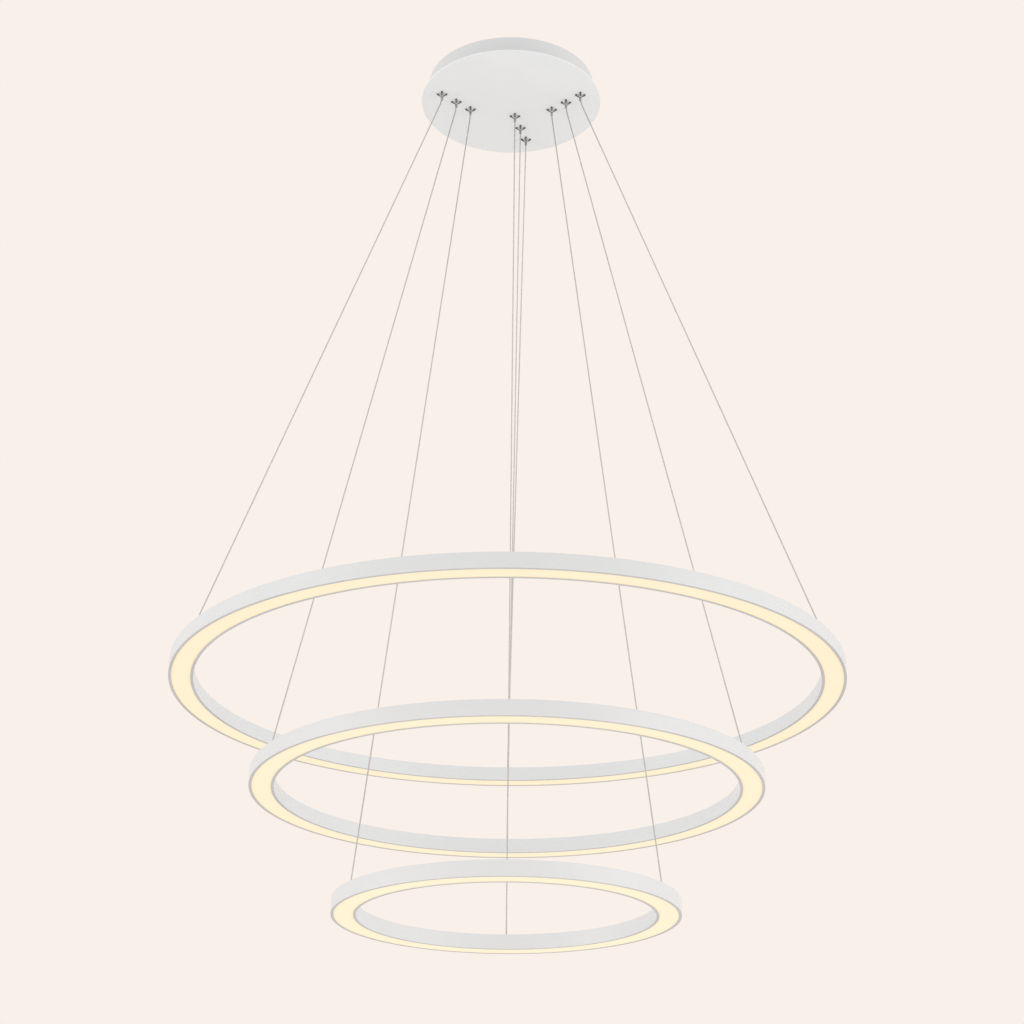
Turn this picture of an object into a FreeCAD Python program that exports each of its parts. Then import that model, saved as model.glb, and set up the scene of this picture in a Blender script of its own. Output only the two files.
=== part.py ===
import FreeCAD, Part
import math
import os

import Sketcher

doc = FreeCAD.newDocument("RingChandelier")
sheet = doc.addObject("Spreadsheet::Sheet", "Sizes")

# Every size in millimetres, every angle in degrees. Angles run from +X towards +Y,
# the origin is the centre of the ceiling face and +Z points up.
SIZES = {
    # rings: outer diameter, and the drop from the ceiling to the underside
    "largeDiameter": 800, "largeDrop": 860,
    "mediumDiameter": 600, "mediumDrop": 985,
    "smallDiameter": 400, "smallDrop": 1130,
    # ring channel, open downwards between two thick lips
    "ringWidth": 29, "ringHeight": 18, "channelWall": 1.3, "channelWeb": 1.6,
    "edgeBreak": 0.3, "lipWidth": 3.4, "ledgeWidth": 0.9, "ledgeHeight": 0.8,
    "diffuserThickness": 2.2, "diffuserRecess": 0.4, "diffuserGap": 0.05,
    "boardWidth": 12, "boardThickness": 1.0,
    "chipLength": 3.5, "chipWidth": 2.8, "chipHeight": 0.8,
    "largeChips": 48, "mediumChips": 36, "smallChips": 24,
    # wire anchors on the rings
    "anchorDiameter": 9, "anchorHeight": 2.4, "spigotDiameter": 4, "socketDepth": 1.2,
    "leftAngle": 200, "rightAngle": -20, "backAngle": 90,
    # suspension wires
    "wireDiameter": 1.6, "wireClearance": 0.15, "topBend": 3, "footBend": 2,
    "topLead": 1, "footLead": 0.8, "wireTail": 3.5,
    # canopy
    "plateDiameter": 240, "plateThickness": 2, "plateRound": 0.6,
    "drumDiameter": 221, "drumHeight": 26, "drumWall": 1.2,
    "tabLength": 12, "tabWidth": 14, "tabAngle": 45,
    "studDiameter": 3, "studLength": 6, "studClearance": 0.2,
    "studNutAcross": 5.5, "studNutHeight": 2.4,
    # ceiling bracket
    "bracketWidth": 24, "bracketThickness": 2, "earDrop": 16, "earGap": 0.3,
    "slotSpacing": 90, "slotLength": 30, "slotWidth": 5, "cableHole": 16,
    "screwDiameter": 4, "screwLength": 6, "screwDrop": 10, "screwClearance": 0.1,
    "screwSink": 0.3, "socketKey": 2, "keyDepth": 2,
    # LED drivers and terminal block, each with an ear at both ends
    "earLength": 10, "earThickness": 2, "driverWidth": 26, "driverHeight": 18,
    "largeDriverLength": 116, "largeDriverWidth": 30, "largeDriverHeight": 20,
    "largeDriverMargin": 30.5, "driverMargin": 20.5,
    "mediumDriverLength": 84, "mediumDriverAngle": 140,
    "smallDriverLength": 76, "smallDriverAngle": 35,
    "blockLength": 44, "blockWidth": 16, "blockHeight": 12, "blockOffset": 20,
    "poleDiameter": 4, "poleDepth": 5, "polePitch": 7,
    # rows of wire holders: the outermost one's distance from the drum wall and its
    # angle, then equal steps inwards
    "sideMargin": 14.5, "sideAngle": -13.3, "sideStep": 25.6, "sideStepAngle": 137,
    "backMargin": 21, "backRowAngle": 76.6, "backStep": 29.5, "backStepAngle": 255,
    # wire holder
    "barrelDiameter": 5, "barrelLength": 7, "barrelClearance": 0.1,
    "chamberDiameter": 3.9, "chamberFloor": 1.5, "boreDiameter": 2.9,
    "stemDiameter": 3.8, "hubDiameter": 4.6, "hubHeight": 1.6, "hubRound": 0.5,
    "holderDepth": 4.8, "legReach": 5.7, "legRoot": 1.5, "legRootDiameter": 1.0,
    "legTipDiameter": 1.9, "legTipHeight": 0.9, "footDiameter": 2.8, "footHeight": 1.3,
    "capAcross": 8, "capTop": 1.5,
    # release plunger and its spring
    "ballDiameter": 3.8, "plungerStroke": 1.2, "plungerRest": 0.2,
    "plungerClearance": 0.1, "collarHeight": 1,
    "springWire": 0.35, "springTurns": 7, "springGap": 0.12,
}

for row, (name, value) in enumerate(SIZES.items(), start=1):
    sheet.set(f"A{row}", name)
    sheet.set(f"B{row}", str(value))
    sheet.setAlias(f"B{row}", name)
doc.recompute()


def sized(text):
    """Turn the names in an expression into references to the sheet."""
    out, word = "", ""
    for letter in text + " ":
        if letter.isalnum():
            word += letter
            continue
        out += f"Sizes.{word}" if word in SIZES else word
        out += letter
        word = ""
    return out.strip()


def bind(obj, **properties):
    """Bind properties of an object to expressions of the sheet's sizes."""
    for name, text in properties.items():
        obj.setExpression(name, sized(text))
    return obj


def place(obj, x="0", y="0", z="0", turn=None):
    """Bind an object's place, and its turn about the vertical if one is given."""
    for axis, text in zip("xyz", (x, y, z)):
        obj.setExpression(f".Placement.Base.{axis}", sized(text))
    if turn is not None:
        obj.Placement.Rotation = FreeCAD.Rotation(FreeCAD.Vector(0, 0, 1), 1)
        obj.setExpression(".Placement.Rotation.Angle", sized(turn))
    return obj


def size(text):
    """Value of one size as a number."""
    return float(getattr(sheet, text))


def tangent_arc(first, corner, last):
    """Arc from first to last that is tangent to both equal legs of the corner."""
    before, after = first - corner, last - corner
    half = before.getAngle(after) / 2
    radius = before.Length * math.tan(half)
    toward = (before.normalize() + after.normalize()).normalize()
    return Part.Arc(first, corner + toward * (radius / math.sin(half) - radius), last)


def tube(edges, diameter, start, way):
    """Solid round tube along joined edges, which leave start in the direction way."""
    path = Part.Wire([edge.toShape() for edge in edges])
    section = Part.Wire([Part.makeCircle(diameter / 2, start, way)])
    solid = path.makePipeShell([section], True, False)
    share = solid.Volume / (path.Length * math.pi * diameter ** 2 / 4)
    print(f"tube {path.Length:.1f} mm long, volume {share:.4f} of section times length")
    return solid


# ---------------------------------------------------------------- shape helpers

def cylinder(name, diameter, height, x="0", y="0", z="0"):
    made = doc.addObject("Part::Cylinder", name)
    return place(bind(made, Radius=f"({diameter}) / 2", Height=height), x, y, z)


def lying_cylinder(name, diameter, length, x, z):
    """Cylinder along +X that starts at x."""
    made = bind(doc.addObject("Part::Cylinder", name),
                Radius=f"({diameter}) / 2", Height=length)
    made.Placement.Rotation = FreeCAD.Rotation(FreeCAD.Vector(0, 1, 0), 90)
    return place(made, x, "0", z)


def box(name, length, width, height, x, y, z="0", turn="0"):
    """Box that stands on z, turned about the vertical round its own middle (x, y)."""
    made = bind(doc.addObject("Part::Box", name), Length=length, Width=width, Height=height)
    half_x, half_y = f"({length}) / 2", f"({width}) / 2"
    return place(made,
                 f"{x} - {half_x} * cos({turn}) + {half_y} * sin({turn})",
                 f"{y} - {half_x} * sin({turn}) - {half_y} * cos({turn})",
                 z, turn)


def hexagon(name, across, height, x="0", y="0", z="0"):
    made = bind(doc.addObject("Part::Prism", name),
                Circumradius=f"({across}) / (2 * cos(30))", Height=height)
    made.Polygon = 6
    return place(made, x, y, z)


def fuse(name, pieces):
    made = doc.addObject("Part::MultiFuse", name)
    made.Shapes = pieces
    return made


def cut(name, base, tools):
    made = doc.addObject("Part::Cut", name)
    made.Base = base
    made.Tool = tools[0] if len(tools) == 1 else fuse(f"{name}Tools", tools)
    return made


def group(name, pieces):
    made = doc.addObject("Part::Compound", name)
    made.Links = pieces
    return made


def copy_at(name, master, x, y, z, turn=None):
    """One more of an identical piece, in its own place."""
    return place(group(name, [master]), x, y, z, turn)


def plane(body, role):
    return [f for f in body.Origin.OriginFeatures if f.Role == role][0]


def sketch_on(body, name, role):
    made = body.newObject("Sketcher::SketchObject", name)
    made.AttachmentSupport = [(plane(body, role), "")]
    made.MapMode = "FlatFace"
    return made


def fix_point(sketch, edge, corner, seed, at):
    """Hold one point of a sketch edge at expressions for its two coordinates."""
    for kind, start, text in zip(("DistanceX", "DistanceY"), seed, at):
        index = sketch.addConstraint(
            Sketcher.Constraint(kind, -1, 1, edge, corner, float(start)))
        sketch.setExpression(f"Constraints[{index}]", sized(text))


def draw_outline(sketch, points):
    """Closed outline whose corners are pairs of expressions."""
    seeds = [(10.0 + i, 3.0 + i * i % 7) for i in range(len(points))]
    for i, seed in enumerate(seeds):
        after = seeds[(i + 1) % len(seeds)]
        sketch.addGeometry(Part.LineSegment(FreeCAD.Vector(*seed, 0),
                                            FreeCAD.Vector(*after, 0)), False)
    for i in range(len(points)):
        sketch.addConstraint(
            Sketcher.Constraint("Coincident", i, 2, (i + 1) % len(points), 1))
    for i, point in enumerate(points):
        fix_point(sketch, i, 1, seeds[i], point)


def draw_circle(sketch, diameter, x="0", y="0"):
    index = sketch.addGeometry(
        Part.Circle(FreeCAD.Vector(1, 1, 0), FreeCAD.Vector(0, 0, 1), 1), False)
    radius = sketch.addConstraint(Sketcher.Constraint("Radius", index, 1.0))
    sketch.setExpression(f"Constraints[{radius}]", sized(f"({diameter}) / 2"))
    fix_point(sketch, index, 3, (1, 1), (x, y))


def turned_body(name, points):
    """Body turned about Z from an outline of (radius, height) expressions."""
    body = doc.addObject("PartDesign::Body", name)
    sketch = sketch_on(body, f"{name}Profile", "XZ_Plane")
    draw_outline(sketch, points)
    turn = body.newObject("PartDesign::Revolution", f"{name}Turn")
    turn.Profile = sketch
    turn.ReferenceAxis = (sketch, ["V_Axis"])
    turn.Angle = 360
    sketch.Visibility = False
    return body


def drill(body, name, holes):
    """Cut (diameter, x, y) holes upwards, right through the body."""
    sketch = sketch_on(body, f"{name}Circles", "XY_Plane")
    for hole in holes:
        draw_circle(sketch, *hole)
    pocket = body.newObject("PartDesign::Pocket", name)
    pocket.Profile = sketch
    pocket.Type = "ThroughAll"
    pocket.Reversed = True
    return pocket


# ------------------------------------------------------------------- main places

RINGS = ("large", "medium", "small")
SIDES = ("left", "right", "back")
PLATE_UNDERSIDE = "(-drumHeight - plateThickness)"
PLATE_TOP = "(-drumHeight)"
DRUM_INSIDE = "(drumDiameter / 2 - drumWall)"


def holder_place(ring, side):
    """Expressions for where a wire holder sits on the face plate."""
    step = RINGS.index(ring)
    if side == "back":
        start, angle = f"({DRUM_INSIDE} - backMargin)", "backRowAngle"
        move, heading = f"{step} * backStep", "backStepAngle"
    else:
        start, angle = f"({DRUM_INSIDE} - sideMargin)", "sideAngle"
        move, heading = f"{step} * sideStep", "sideStepAngle"
    mirror = "-1" if side == "left" else "1"
    return (f"{mirror} * ({start} * cos({angle}) + {move} * cos({heading}))",
            f"{start} * sin({angle}) + {move} * sin({heading})")


def anchor_place(ring, side):
    """Expressions for where a wire meets its ring, midway across the channel."""
    middle = f"({ring}Diameter / 2 - ringWidth / 2)"
    return f"{middle} * cos({side}Angle)", f"{middle} * sin({side}Angle)"


# ------------------------------------------------------------------------- rings

def ring_frame(ring):
    outer = f"{ring}Diameter / 2"
    inner = f"({ring}Diameter / 2 - ringWidth)"
    seat = "(diffuserRecess + diffuserThickness)"
    web = "(ringHeight - channelWeb)"
    body = turned_body(f"{ring}_ring_frame", [
        (f"{inner} + edgeBreak", "0"),
        (f"{inner} + lipWidth", "0"),
        (f"{inner} + lipWidth", seat),
        (f"{inner} + lipWidth + ledgeWidth", seat),
        (f"{inner} + lipWidth + ledgeWidth", f"{seat} + ledgeHeight"),
        (f"{inner} + channelWall", f"{seat} + ledgeHeight"),
        (f"{inner} + channelWall", web),
        (f"{outer} - channelWall", web),
        (f"{outer} - channelWall", f"{seat} + ledgeHeight"),
        (f"{outer} - lipWidth - ledgeWidth", f"{seat} + ledgeHeight"),
        (f"{outer} - lipWidth - ledgeWidth", seat),
        (f"{outer} - lipWidth", seat),
        (f"{outer} - lipWidth", "0"),
        (f"{outer} - edgeBreak", "0"),
        (outer, "edgeBreak"),
        (outer, "ringHeight - edgeBreak"),
        (f"{outer} - edgeBreak", "ringHeight"),
        (f"{inner} + edgeBreak", "ringHeight"),
        (inner, "ringHeight - edgeBreak"),
        (inner, "edgeBreak"),
    ])
    drill(body, f"{ring}AnchorHoles",
          [("spigotDiameter", *anchor_place(ring, side)) for side in SIDES])
    return place(body, z=f"-{ring}Drop")


def ring_diffuser(ring):
    inner = f"({ring}Diameter / 2 - ringWidth + lipWidth + diffuserGap)"
    outer = f"({ring}Diameter / 2 - lipWidth - diffuserGap)"
    top = "diffuserRecess + diffuserThickness"
    body = turned_body(f"{ring}_ring_diffuser", [
        (inner, "diffuserRecess"), (outer, "diffuserRecess"), (outer, top), (inner, top)])
    return place(body, z=f"-{ring}Drop")


def ring_led_strip(ring):
    """Board under the channel's web, with chips facing down; its own zero is its underside."""
    middle = f"({ring}Diameter / 2 - ringWidth / 2)"
    name = f"{ring}_ring_led_strip"
    body = turned_body(name, [
        (f"{middle} - boardWidth / 2", "0"), (f"{middle} + boardWidth / 2", "0"),
        (f"{middle} + boardWidth / 2", "boardThickness"),
        (f"{middle} - boardWidth / 2", "boardThickness")])
    sketch = sketch_on(body, f"{name}ChipOutline", "XY_Plane")
    draw_outline(sketch, [
        (f"{middle} - chipWidth / 2", "-chipLength / 2"),
        (f"{middle} + chipWidth / 2", "-chipLength / 2"),
        (f"{middle} + chipWidth / 2", "chipLength / 2"),
        (f"{middle} - chipWidth / 2", "chipLength / 2")])
    chip = body.newObject("PartDesign::Pad", f"{name}Chip")
    chip.Profile = sketch
    chip.Reversed = True
    bind(chip, Length="chipHeight")
    pattern = body.newObject("PartDesign::PolarPattern", f"{name}Chips")
    pattern.Originals = [chip]
    pattern.Axis = (sketch, ["N_Axis"])
    pattern.Angle = 360
    bind(pattern, Occurrences=f"{ring}Chips")
    body.Tip = pattern
    return place(body, z=f"-{ring}Drop + ringHeight - channelWeb - boardThickness")


def anchor_master():
    """Low button with a blind socket; its own zero is the channel's top."""
    button = cylinder("AnchorButton", "anchorDiameter", "anchorHeight")
    spigot = cylinder("AnchorSpigot", "spigotDiameter", "channelWeb", z="-channelWeb")
    socket = cylinder("AnchorSocket", "wireDiameter + 2 * wireClearance", "socketDepth",
                      z="anchorHeight - socketDepth")
    return cut("AnchorMaster", fuse("AnchorSolid", [button, spigot]), [socket])


def ring_anchors(ring, master):
    top = f"-{ring}Drop + ringHeight"
    return group(f"{ring}_ring_wire_anchors",
                 [copy_at(f"{ring}{side}Anchor", master, *anchor_place(ring, side), top)
                  for side in SIDES])


# ------------------------------------------------------------------ wire holders

def holder_master():
    """Hub on four legs, stem and threaded barrel; its own zero is the plate's underside."""
    stem = cylinder("HolderStem", "stemDiameter", "holderDepth", z="-holderDepth")
    hub = cylinder("HolderHub", "hubDiameter", "hubHeight", z="-holderDepth")
    round_hub = doc.addObject("Part::Fillet", "HolderHubRound")
    round_hub.Base = hub
    round_hub.Edges = [(edge, size("hubRound"), size("hubRound")) for edge in (1, 3)]
    barrel = cylinder("HolderBarrel", "barrelDiameter", "plateThickness + barrelLength")
    pieces = [round_hub, stem, barrel]
    rise = "(holderDepth - hubHeight / 2 - legTipHeight)"
    run = "(legReach - legRoot)"
    for leg in range(4):
        turn = f"{90 * leg}"
        arm = bind(doc.addObject("Part::Cone", f"HolderArm{leg}"),
                   Radius1="legRootDiameter / 2", Radius2="legTipDiameter / 2",
                   Height=f"sqrt({run}^2 + {rise}^2)")
        # The cone's own Z leans outwards: a quarter turn about Z, then the lean.
        lean = FreeCAD.Rotation(FreeCAD.Vector(0, 1, 0), math.degrees(math.atan2(
            size("legReach") - size("legRoot"),
            size("holderDepth") - size("hubHeight") / 2 - size("legTipHeight"))))
        arm.Placement.Rotation = FreeCAD.Rotation(
            FreeCAD.Vector(0, 0, 1), 90 * leg).multiply(lean)
        place(arm, f"legRoot * cos({turn})", f"legRoot * sin({turn})",
              "-holderDepth + hubHeight / 2")
        foot = cylinder(f"HolderFoot{leg}", "footDiameter", "footHeight",
                        f"legReach * cos({turn})", f"legReach * sin({turn})", "-footHeight")
        pieces += [arm, foot]
    bore = cylinder("HolderBore", "boreDiameter", "holderDepth + chamberFloor",
                    z="-holderDepth")
    chamber = cylinder("HolderChamber", "chamberDiameter",
                       "plateThickness + barrelLength - chamberFloor", z="chamberFloor")
    return cut("HolderMaster", fuse("HolderSolid", pieces), [bore, chamber])


def cap_nut_master():
    """Hexagonal cap on the barrel; its own zero is the plate's inner face."""
    outside = hexagon("CapHexagon", "capAcross", "barrelLength + capTop")
    thread = cylinder("CapThread", "barrelDiameter", "barrelLength")
    hole = cylinder("CapWireHole", "wireDiameter + 2 * wireClearance",
                    "barrelLength + capTop")
    return cut("CapNutMaster", outside, [thread, hole])


def plunger_master():
    """Ball, tube and collar with the wire's bore; its own zero is the plate's underside."""
    ball_drop = "(holderDepth + plungerStroke + plungerRest + ballDiameter / 2)"
    ball = place(bind(doc.addObject("Part::Sphere", "PlungerBall"),
                      Radius="ballDiameter / 2"), z=f"-{ball_drop}")
    tube = cylinder("PlungerTube", "boreDiameter - 2 * plungerClearance",
                    f"{ball_drop} + chamberFloor", z=f"-{ball_drop}")
    collar = cylinder("PlungerCollar", "chamberDiameter - 2 * plungerClearance",
                      "collarHeight", z="chamberFloor")
    bore = cylinder("PlungerBore", "wireDiameter + 2 * wireClearance",
                    f"{ball_drop} + ballDiameter / 2 + chamberFloor + collarHeight",
                    z=f"-{ball_drop} - ballDiameter / 2")
    return cut("PlungerMaster", fuse("PlungerSolid", [ball, tube, collar]), [bore])


def spring_master():
    """Helical spring from the collar to the cap; its own zero is its lower end's middle."""
    radius = size("chamberDiameter") / 2 - size("springGap") - size("springWire") / 2
    height = (size("plateThickness") + size("barrelLength") - size("chamberFloor")
              - size("collarHeight") - size("springWire") - 2 * size("springGap"))
    rise = height / (2 * math.pi * size("springTurns"))

    def on_helix(angle):
        along = FreeCAD.Vector(-radius * math.sin(angle), radius * math.cos(angle), rise)
        return (FreeCAD.Vector(radius * math.cos(angle), radius * math.sin(angle),
                               rise * angle), along.normalize())

    # Each step is half a turn or a little less, made of two tangent arcs with equal legs.
    steps = math.ceil(2 * size("springTurns"))
    step_angle = 2 * math.pi * size("springTurns") / steps
    edges = []
    for step in range(steps):
        start, start_way = on_helix(step_angle * step)
        end, end_way = on_helix(step_angle * (step + 1))
        chord, ways = end - start, start_way + end_way
        spread = 2 * (1 - start_way.dot(end_way))
        leg = (math.sqrt(chord.dot(ways) ** 2 + spread * chord.dot(chord))
               - chord.dot(ways)) / spread
        near, far = start + start_way * leg, end - end_way * leg
        middle = (near + far) / 2
        edges += [tangent_arc(start, near, middle), tangent_arc(middle, far, end)]
    foot, foot_way = on_helix(0)
    made = doc.addObject("Part::Feature", "SpringMaster")
    made.Shape = tube(edges, size("springWire"), foot, foot_way)
    gap = height / size("springTurns") - size("springWire")
    print(f"spring: least gap between turns {gap:.2f} mm")
    return made


# ------------------------------------------------------------------------ wires

def suspension_wire(ring, side, holder_at, anchor_at):
    """Taut wire: down through the plunger, straight to the ring, and into its anchor."""
    underside = -size("drumHeight") - size("plateThickness")
    cap_top = -size("drumHeight") + size("barrelLength") + size("capTop")
    ball_end = underside - (size("holderDepth") + size("plungerStroke")
                            + size("plungerRest") + size("ballDiameter"))
    anchor_top = -size(f"{ring}Drop") + size("ringHeight") + size("anchorHeight")
    start = FreeCAD.Vector(*holder_at, cap_top + size("wireTail"))
    bend = FreeCAD.Vector(*holder_at, ball_end - size("topLead"))
    foot = FreeCAD.Vector(*anchor_at, anchor_top + size("footLead"))
    end = FreeCAD.Vector(*anchor_at, anchor_top - size("socketDepth"))
    edges, at = [], start
    for corner, after, radius in ((bend, foot, "topBend"), (foot, end, "footBend")):
        before = (at - corner).normalize()
        onward = (after - corner).normalize()
        reach = size(radius) / math.tan(before.getAngle(onward) / 2)
        first, last = corner + before * reach, corner + onward * reach
        edges += [Part.LineSegment(at, first), tangent_arc(first, corner, last)]
        at = last
    edges.append(Part.LineSegment(at, end))
    print(f"{ring} {side} wire:", end=" ")
    made = doc.addObject("Part::Feature", f"{ring}_{side}_wire")
    made.Shape = tube(edges, size("wireDiameter"), start, FreeCAD.Vector(0, 0, 1))
    made.Placement = FreeCAD.Placement()
    return made


# ----------------------------------------------------------------------- canopy

def face_plate(holes):
    body = doc.addObject("PartDesign::Body", "face_plate")
    sketch = sketch_on(body, "PlateCircle", "XY_Plane")
    draw_circle(sketch, "plateDiameter")
    pad = body.newObject("PartDesign::Pad", "PlateDisc")
    pad.Profile = sketch
    bind(pad, Length="plateThickness")
    doc.recompute()
    rounded = body.newObject("PartDesign::Fillet", "PlateRounding")
    rounded.Base = (pad, [f"Edge{i + 1}" for i, edge in enumerate(pad.Shape.Edges)
                          if edge.Curve.TypeId == "Part::GeomCircle"])
    bind(rounded, Radius="plateRound")
    drill(body, "HolderHoles",
          [("barrelDiameter + 2 * barrelClearance", *hole) for hole in holes])
    return place(body, z=PLATE_UNDERSIDE)


def tab_places():
    """Where the drum's tabs hold their studs, as (x, y, turn)."""
    middle = f"({DRUM_INSIDE} - tabLength / 2)"
    turns = [f"(tabAngle + {90 * i})" for i in range(4)]
    return [(f"{middle} * cos({turn})", f"{middle} * sin({turn})", turn) for turn in turns]


def drum():
    outside = cylinder("DrumOutside", "drumDiameter", "drumHeight", z=PLATE_TOP)
    inside = cylinder("DrumInside", f"2 * {DRUM_INSIDE}", "drumHeight", z=PLATE_TOP)
    wall = cut("DrumWall", outside, [inside])
    pieces, holes = [wall], []
    for i, (x, y, turn) in enumerate(tab_places()):
        pieces.append(box(f"DrumTab{i}", "tabLength + drumWall", "tabWidth", "drumWall",
                          f"{x} + drumWall / 2 * cos({turn})",
                          f"{y} + drumWall / 2 * sin({turn})", PLATE_TOP, turn))
        holes.append(cylinder(f"DrumTabHole{i}", "studDiameter + 2 * studClearance",
                              "drumWall", x, y, PLATE_TOP))
    holes.append(lying_cylinder("DrumScrewHole", "screwDiameter + 2 * screwClearance",
                                "drumDiameter + 2 * tabWidth",
                                "-drumDiameter / 2 - tabWidth", "-screwDrop"))
    return cut("drum", fuse("DrumSolid", pieces), holes)


def ceiling_bracket():
    """Slotted bar along X under the ceiling, with an ear bent down at each end."""
    reach = f"(sqrt({DRUM_INSIDE}^2 - bracketWidth^2 / 4) - earGap)"
    pieces = [box("BracketBar", f"2 * {reach}", "bracketWidth", "bracketThickness",
                  "0", "0", "-bracketThickness")]
    holes = [cylinder("BracketCableHole", "cableHole", "bracketThickness",
                      z="-bracketThickness")]
    for side, sign in (("Left", "-1"), ("Right", "1")):
        pieces.append(box(f"Bracket{side}Ear", "bracketThickness", "bracketWidth", "earDrop",
                          f"{sign} * ({reach} - bracketThickness / 2)", "0", "-earDrop"))
        middle = f"{sign} * slotSpacing / 2"
        holes.append(box(f"Bracket{side}Slot", "slotLength - slotWidth", "slotWidth",
                         "bracketThickness", middle, "0", "-bracketThickness"))
        for end in ("-1", "1"):
            holes.append(cylinder(
                f"Bracket{side}SlotEnd{len(holes)}", "slotWidth", "bracketThickness",
                f"{middle} + {end} * (slotLength - slotWidth) / 2", "0",
                "-bracketThickness"))
    holes.append(lying_cylinder("BracketScrewHole", "screwDiameter", f"2 * {reach}",
                                f"-1 * {reach}", "-screwDrop"))
    return cut("ceiling_bracket", fuse("BracketSolid", pieces), holes)


def side_screws():
    """Headless screws, sunk a little below the drum's outer face."""
    face = "(drumDiameter / 2 - screwSink)"
    right = cut("RightScrewSolid",
                lying_cylinder("RightScrewRod", "screwDiameter", "screwLength",
                               f"{face} - screwLength", "-screwDrop"),
                [screw_key()])
    left = copy_at("LeftScrewSolid", right, "0", "0", "0", "180")
    return group("side_screws", [right, left])


def screw_key():
    key = bind(doc.addObject("Part::Prism", "ScrewKey"),
               Circumradius="socketKey / (2 * cos(30))", Height="keyDepth")
    key.Polygon = 6
    key.Placement.Rotation = FreeCAD.Rotation(FreeCAD.Vector(0, 1, 0), 90)
    return place(key, "drumDiameter / 2 - screwSink - keyDepth", "0", "-screwDrop")


def eared_places(length, x, y, turn):
    """Where the two ears of a boxed unit hold their studs."""
    reach = f"({length} - earLength) / 2"
    return [(f"{x} + {sign} * {reach} * cos({turn})", f"{y} + {sign} * {reach} * sin({turn})")
            for sign in ("-1", "1")]


def eared_box(name, length, width, height, x, y, turn, cuts=()):
    """Boxed unit that stands on the plate's inner face on two screwed ears."""
    housing = box(f"{name}Housing", f"{length} - 2 * earLength", width, height,
                  x, y, PLATE_TOP, turn)
    ears = box(f"{name}Ears", length, f"{width} / 2", "earThickness", x, y, PLATE_TOP, turn)
    holes = [cylinder(f"{name}EarHole{i}", "studDiameter + 2 * studClearance",
                      "earThickness", hole_x, hole_y, PLATE_TOP)
             for i, (hole_x, hole_y) in enumerate(eared_places(length, x, y, turn))]
    return cut(name, fuse(f"{name}Solid", [housing, ears]), holes + list(cuts))


def terminal_block():
    poles = [cylinder(f"BlockPole{i}", "poleDiameter", "poleDepth",
                      f"{i} * polePitch", "-blockOffset",
                      f"{PLATE_TOP} + blockHeight - poleDepth") for i in (-1, 0, 1)]
    return eared_box("terminal_block", "blockLength", "blockWidth", "blockHeight",
                     "0", "-blockOffset", "0", poles)


def driver_specs():
    """Each driver's name, sizes, place and turn."""
    large_y = f"-({DRUM_INSIDE} - largeDriverMargin - largeDriverWidth / 2)"
    out = [("large_ring_driver", "largeDriverLength", "largeDriverWidth",
            "largeDriverHeight", "0", large_y, "0")]
    middle = f"({DRUM_INSIDE} - driverMargin - driverWidth / 2)"
    for ring in ("medium", "small"):
        angle = f"{ring}DriverAngle"
        out.append((f"{ring}_ring_driver", f"{ring}DriverLength", "driverWidth",
                    "driverHeight", f"{middle} * cos({angle})", f"{middle} * sin({angle})",
                    f"({angle} + 90)"))
    return out


def studs_and_nuts():
    """Weld studs on the plate's inner face, and the nut on each."""
    seats = [(x, y, "drumWall") for x, y, turn in tab_places()]
    units = [(spec[1], *spec[4:]) for spec in driver_specs()]
    units.append(("blockLength", "0", "-blockOffset", "0"))
    for length, x, y, turn in units:
        seats += [(ear_x, ear_y, "earThickness")
                  for ear_x, ear_y in eared_places(length, x, y, turn)]
    studs, nuts = [], []
    for i, (x, y, under) in enumerate(seats):
        studs.append(cylinder(f"Stud{i}", "studDiameter", "studLength", x, y, PLATE_TOP))
        nut_z = f"{PLATE_TOP} + {under}"
        blank = hexagon(f"NutBlank{i}", "studNutAcross", "studNutHeight", x, y, nut_z)
        hole = cylinder(f"NutHole{i}", "studDiameter", "studNutHeight", x, y, nut_z)
        nuts.append(cut(f"Nut{i}", blank, [hole]))
    return [group("weld_studs", studs), group("stud_nuts", nuts)]


# ---------------------------------------------------------------------- assembly

places = {(ring, side): holder_place(ring, side) for ring in RINGS for side in SIDES}
anchors = {(ring, side): anchor_place(ring, side) for ring in RINGS for side in SIDES}

parts = [ceiling_bracket(), side_screws(), drum(), face_plate(places.values())]
parts += studs_and_nuts()
parts += [eared_box(*spec) for spec in driver_specs()]
parts.append(terminal_block())

anchor = anchor_master()
for ring in RINGS:
    parts += [ring_frame(ring), ring_diffuser(ring), ring_led_strip(ring),
              ring_anchors(ring, anchor)]

holder, plunger, spring = holder_master(), plunger_master(), spring_master()
cap_nut = cap_nut_master()
spring_foot = "chamberFloor + collarHeight + springWire / 2 + springGap"
cap_nuts, markers = [], {}
for (ring, side), (x, y) in places.items():
    parts.append(copy_at(f"{ring}_{side}_holder", holder, x, y, PLATE_UNDERSIDE))
    parts.append(copy_at(f"{ring}_{side}_plunger", plunger, x, y, PLATE_UNDERSIDE))
    parts.append(copy_at(f"{ring}_{side}_spring", spring, x, y,
                         f"{PLATE_UNDERSIDE} + {spring_foot}"))
    cap_nuts.append(copy_at(f"{ring}{side}CapNut", cap_nut, x, y, PLATE_TOP))
    markers[ring, side] = cap_nuts[-1]
parts.append(group("holder_cap_nuts", cap_nuts))
doc.recompute()

# The wires run between places that the sheet has set above.
for ring in RINGS:
    for side, link in zip(SIDES, doc.getObject(f"{ring}_ring_wire_anchors").Links):
        holder_at = markers[ring, side].Placement.Base
        anchor_at = link.Placement.Base
        parts.append(suspension_wire(ring, side, (holder_at.x, holder_at.y),
                                     (anchor_at.x, anchor_at.y)))
doc.recompute()

# ------------------------------------------------------------- checks and export

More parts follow.
